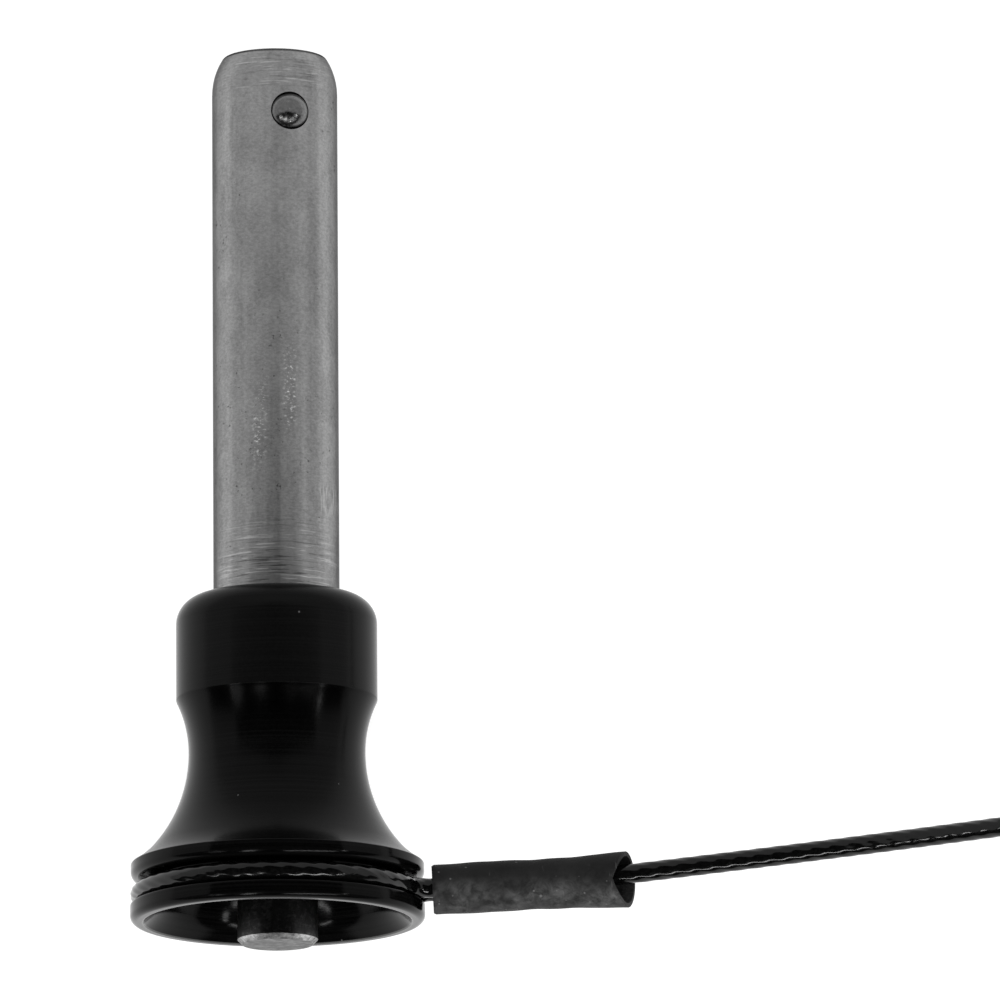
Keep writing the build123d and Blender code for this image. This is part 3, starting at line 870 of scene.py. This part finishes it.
def eye_route(centre, along, up, radius, bend, offset, run_to):
    """A crimped eye: in along one strand, round, and out along the other.

    The strands run along the eye's own X, STRAND either side of a line that passes its
    centre at offset.
    """
    upper, lower = offset + STRAND + bend, offset - STRAND - bend
    upper_at = atan2(upper, sqrt((radius + bend) ** 2 - upper**2))
    lower_at = atan2(lower, sqrt((radius + bend) ** 2 - lower**2)) + 2 * pi
    step = (lower_at - upper_at) / EYE_POINTS
    corner = radius / cos(step / 2)
    turns = [upper_at + step * (k + 0.5) for k in range(EYE_POINTS)]
    flat = [
        (run_to, offset + STRAND),
        (run_to - GRIP_REACH / 2, offset + STRAND),
        (corner_x(radius, bend, upper), offset + STRAND),
        *((corner * cos(turn), corner * sin(turn)) for turn in turns),
        (corner_x(radius, bend, lower), offset - STRAND),
        (run_to - GRIP_REACH / 2, offset - STRAND),
        (run_to, offset - STRAND),
    ]
    return [centre + along * x + up * y for x, y in flat]


def handle_eye_route():
    """The eye round the handle's groove, whose strands leave it at a rise into the crimp."""
    rise, turn = STRAND_RISE, EXIT_RISE - STRAND_RISE
    return eye_route(
        pin_point(0, 0, LOOP_Z),
        pin_way(cos(rise), -sin(rise), 0),
        pin_way(-sin(rise), -cos(rise), 0),
        LOOP_R,
        LOOP_BEND_R,
        EXIT_R * sin(turn),
        EXIT_R * cos(turn) + GRIP_REACH,
    )


def far_eye_route():
    """The eye at the rope's far end, which leans from its sleeve down to the surface."""
    reach = sqrt((END_EYE_R + END_EYE_BEND_R) ** 2 - (STRAND + END_EYE_BEND_R) ** 2)
    drop = asin((SLEEVE_R - ROPE_R) / (reach + END_EYE_R))
    out = BESIDE * cos(drop) - Vector((0, 0, sin(drop)))
    centre = END_TOP + out * reach
    return eye_route(centre, -out, -WAY_OUT, END_EYE_R, END_EYE_BEND_R, 0, reach + GRIP_REACH)


def crimped(gone, angle):
    """The ferrule's radius: round ends, and shallow presses between them."""
    start, end = FERRULE_ENDS
    share = (gone - PRESS_MARGIN) / (end - start - 2 * PRESS_MARGIN)
    press = PRESS_DEPTH * sin(pi * min(max(share, 0), 1) * PRESSES) ** 2
    edge = min(gone, end - start - gone)
    rounding = FERRULE_ROUND * (1 - eased(edge, 0, FERRULE_ROUND))
    return FERRULE_R - press * cos(2 * angle) ** 2 - rounding


def shrunk_tube(name, points, outer_r, cut):
    """A thin-walled tube down a line in metres, shrunk over its ferrule.

    outer_r gives its radius in millimetres at a distance and an angle from the top, and
    cut(angle) how much further its open end reaches there.
    """
    angles = [2 * pi * s / SLEEVE_SEGMENTS for s in range(SLEEVE_SEGMENTS)]
    gone = [0.0]
    for a, b in zip(points, points[1:]):
        gone.append(gone[-1] + (b - a).length / MM)
    last = len(points) - 1

    def place(k, angle, reach):
        way = way_at(points, k)
        side = (Vector((0, 0, 1)) - way * way.z).normalized()
        out = side * cos(angle) + way.cross(side) * sin(angle)
        push = cut(angle) * eased(gone[k], gone[last] - CUT_REACH, CUT_REACH)
        return points[k] + (way * push + out * reach) * MM

    def tucked(k, angle):
        return outer_r(gone[k], angle) - TUCK * (1 - min(gone[k] / TUCK_OVER, 1)) ** 2

    def inner_r(k, angle):
        bore = FERRULE_R + FIT_GAP + BORE_FLARE * eased(gone[k], *BORE_FLARE_ALONG)
        return min(outer_r(gone[k], angle) - SLEEVE_WALL, bore)

    rim = SLEEVE_WALL * RIM_SHARE
    rings = [[place(k, a, tucked(k, a)) for a in angles] for k in range(last + 1)]
    rings.append([place(last, a, outer_r(gone[last], a) - rim) for a in angles])
    rings += [[place(k, a, inner_r(k, a)) for a in angles] for k in reversed(range(last + 1))]
    verts = [vert for ring in rings for vert in ring]
    faces = quads(len(rings), SLEEVE_SEGMENTS, closed=True)
    return new_piece(name, verts, faces, SLEEVE, "sleeve_black")


def wobble(gone, angle, seed, size):
    """A small unevenness of a shrunk tube's radius."""
    x, y = cos(angle) * WOBBLE_ROUND + seed, sin(angle) * WOBBLE_ROUND
    return size * noise.noise(Vector((x, y, gone * WOBBLE_ALONG)))


def handle_sleeve_r(gone, angle):
    """The near sleeve's radius, which swells over the ferrule and flares at its mouth."""
    swell = SLEEVE_SWELL * eased(gone, 0, SLEEVE_SWELL_OVER)
    flare = SLEEVE_FLARE * eased(gone, *HANDLE_FLARE)
    return SLEEVE_R + swell + flare + wobble(gone, angle, *HANDLE_WOBBLE)


def handle_cut(angle):
    """The open end is cut aslant: short on top, with a shallow notch there, and longer below."""
    off = abs((angle + pi) % (2 * pi) - pi)
    if off < pi / 2:
        return -CUT_NOTCH * (1 - sin(off))
    return -CUT_LONGER * cos(off)


def far_sleeve_r(gone, angle):
    """The far sleeve's radius, which flares at its mouth."""
    return SLEEVE_R + SLEEVE_FLARE * eased(gone, *FAR_FLARE) + wobble(gone, angle, *FAR_WOBBLE)


def spring_line():
    """The helix of the spring's wire, in metres."""
    steps = COILS * COIL_STEPS
    start, end = SPRING_Z[0] + WIRE_R, SPRING_Z[1] - WIRE_R
    points = []
    for k in range(steps + 1):
        angle = 2 * pi * COILS * k / steps
        along = start + (end - start) * k / steps
        points.append(pin_point(COIL_R * cos(angle), COIL_R * sin(angle), along) * MM)
    return points


# ---- the build, camera first
add_camera()

# ---- materials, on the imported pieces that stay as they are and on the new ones
HANDLE = handle_material()
ROPE = rope_material()
SLEEVE = sleeve_material()
INNER = inner_steel_material()
BALL = ball_material()
FERRULE = ferrule_material()
SPRING = spring_material()
KEPT = {
    "shank": shank_material(),
    "spindle": INNER,
    "guide_bush": INNER,
    "button": button_material(),
    "locking_ball_upper": BALL,
    "locking_ball_lower": BALL,
    "handle_washer": INNER,
    "retaining_ring": INNER,
    "end_ferrule": FERRULE,
}
for node, material in KEPT.items():
    NODES[node].data.materials.clear()
    NODES[node].data.materials.append(material)

# ---- the rope, its eyes, sleeves and ferrule
rope_line = spline_points("rope_line", rope_route(), STEP)
rope = rope_piece("lanyard_rope", rope_line)
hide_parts("lanyard_cable", "lanyard_coil", "lanyard_tail")

handle_eye = rope_piece("handle_eye", spline_points("handle_eye_line", handle_eye_route(), STEP))
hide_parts("lanyard_loop")

far_eye = rope_piece("far_eye", spline_points("far_eye_line", far_eye_route(), STEP))
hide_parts("end_loop")

sleeve_line = spline_points("sleeve_line", SLEEVE_ROUTE, STEP)
handle_sleeve = shrunk_tube("handle_sleeve", sleeve_line, handle_sleeve_r, handle_cut)
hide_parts("loop_sleeve")

top, foot = (round(reach * MM / STEP) for reach in FERRULE_ENDS)
ferrule_mesh = sweep(sleeve_line[top:foot + 1], crimped, FERRULE_SEGMENTS)
handle_ferrule = new_piece("handle_ferrule", *ferrule_mesh, FERRULE, "ferrule_metal")
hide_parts("loop_ferrule")

far_route = [END_TOP, *(END_TOP + END_WAY * reach for reach in END_REACHES), END_FOOT]
far_line = spline_points("far_sleeve_line", far_route, STEP)
far_sleeve = shrunk_tube("far_sleeve", far_line, far_sleeve_r, lambda angle: 0)
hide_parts("end_sleeve")

# ---- the handle
handle_mesh = lathe(handle_profile(), HANDLE_TURNS)
handle = new_piece("handle_body", *handle_mesh, HANDLE, "handle_black")
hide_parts("handle")

# ---- the spring
wire_mesh = sweep(spring_line(), lambda gone, angle: WIRE_R, WIRE_SEGMENTS)
spring = new_piece("spring_wire", *wire_mesh, SPRING, "spring_steel")
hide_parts("return_spring")
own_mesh(spring)


# ---- surroundings
def new_surface(name, points, faces):
    """A mesh for the surroundings: (the object, its material's empty tree, the tree's way out)."""
    data = bpy.data.meshes.new(name)
    data.from_pydata([tuple(point) for point in points], [], faces)
    surface = bpy.data.objects.new(name, data)
    bpy.context.collection.objects.link(surface)
    material = bpy.data.materials.new(name)
    material.use_nodes = True
    data.materials.append(material)
    tree = material.node_tree
    tree.nodes.clear()
    return surface, tree, tree.nodes.new("ShaderNodeOutputMaterial").inputs["Surface"]


def matt(tree, shade):
    """A matt grey shader in a tree."""
    diffuse = tree.nodes.new("ShaderNodeBsdfDiffuse")
    diffuse.inputs["Color"].default_value = opaque(shade)
    return diffuse.outputs[0]


def add_floor():
    """A white floor: the camera sees it as white, and it keeps the pin's soft shadow."""
    reach = FLOOR_REACH
    corners = [(-reach, -reach, 0), (reach, -reach, 0), (reach, reach, 0), (-reach, reach, 0)]
    floor, tree, surface = new_surface("floor", corners, [(0, 1, 2, 3)])
    floor.location.z = -FLOOR_DROP * MM
    path = tree.nodes.new("ShaderNodeLightPath")
    seen = path.outputs["Is Camera Ray"]
    for ray in ("Is Glossy Ray", "Is Transmission Ray"):
        either = tree.nodes.new("ShaderNodeMath")
        either.operation = "MAXIMUM"
        tree.links.new(seen, either.inputs[0])
        tree.links.new(path.outputs[ray], either.inputs[1])
        seen = either.outputs[0]
    level = tree.nodes.new("ShaderNodeMath")
    level.operation = "MULTIPLY"
    level.inputs[1].default_value = FLOOR_GLOW
    tree.links.new(seen, level.inputs[0])
    glow = tree.nodes.new("ShaderNodeEmission")
    tree.links.new(level.outputs[0], glow.inputs["Strength"])
    add = tree.nodes.new("ShaderNodeAddShader")
    tree.links.new(matt(tree, FLOOR_TINT), add.inputs[0])
    tree.links.new(glow.outputs[0], add.inputs[1])
    tree.links.new(add.outputs[0], surface)


def add_world():
    """The white surround."""
    world = bpy.data.worlds.new("studio")
    bpy.context.scene.world = world
    world.use_nodes = True
    back = world.node_tree.nodes["Background"]
    back.inputs["Color"].default_value = (1, 1, 1, 1)
    back.inputs["Strength"].default_value = WORLD_LEVEL


def outward(azimuth, rise):
    """The way from the rim to a place round its side: degrees left of straight out, and up."""
    turn, rise = radians(azimuth), radians(rise)
    return Vector((-sin(turn) * cos(rise), -cos(turn) * cos(rise), sin(rise)))


def add_dark(name, points, faces):
    """A dark card for the metal to reflect: only glossy rays meet it. Its points are in metres."""
    card, tree, surface = new_surface(name, points, faces)
    card.visible_camera = card.visible_diffuse = card.visible_shadow = False
    tree.links.new(matt(tree, CARD_SHADE), surface)


def add_cards():
    """One card hangs over the handle, and a curved one stands behind the softboxes."""
    card = [Vector((x, y, CARD_HEIGHT)) * MM for x, y in CARD]
    add_dark("card", card, [tuple(range(len(CARD)))])
    turns = [SCREEN_TURN * (2 * k / SCREEN_STEPS - 1) for k in range(SCREEN_STEPS + 1)]
    screen = [RIM + outward(turn, rise) * SCREEN_REACH for turn in turns for rise in SCREEN_RISES]
    strips = [(2 * k, 2 * k + 1, 2 * k + 3, 2 * k + 2) for k in range(SCREEN_STEPS)]
    add_dark("screen", screen, strips)


def add_softbox(name, azimuth, rise, width, height):
    """A softbox off the rim's side, facing the rim: all in degrees, as the rim sees it."""
    data = bpy.data.lights.new(name, "AREA")
    data.shape = "RECTANGLE"
    data.size = 2 * LAMP_REACH * cos(radians(rise)) * tan(radians(width / 2))
    data.size_y = 2 * LAMP_REACH * tan(radians(height / 2))
    data.energy = LAMP_LEVEL * data.size * data.size_y * pi
    lamp = bpy.data.objects.new(name, data)
    bpy.context.collection.objects.link(lamp)
    way = outward(azimuth, rise)
    lamp.location = RIM + way * LAMP_REACH
    lamp.rotation_mode = "QUATERNION"
    lamp.rotation_quaternion = (-way).to_track_quat("-Z", "Y")


add_floor()
add_world()
add_cards()
for name, place in LAMPS.items():
    add_softbox(name, *place)

bpy.context.scene.view_settings.view_transform = "Standard"
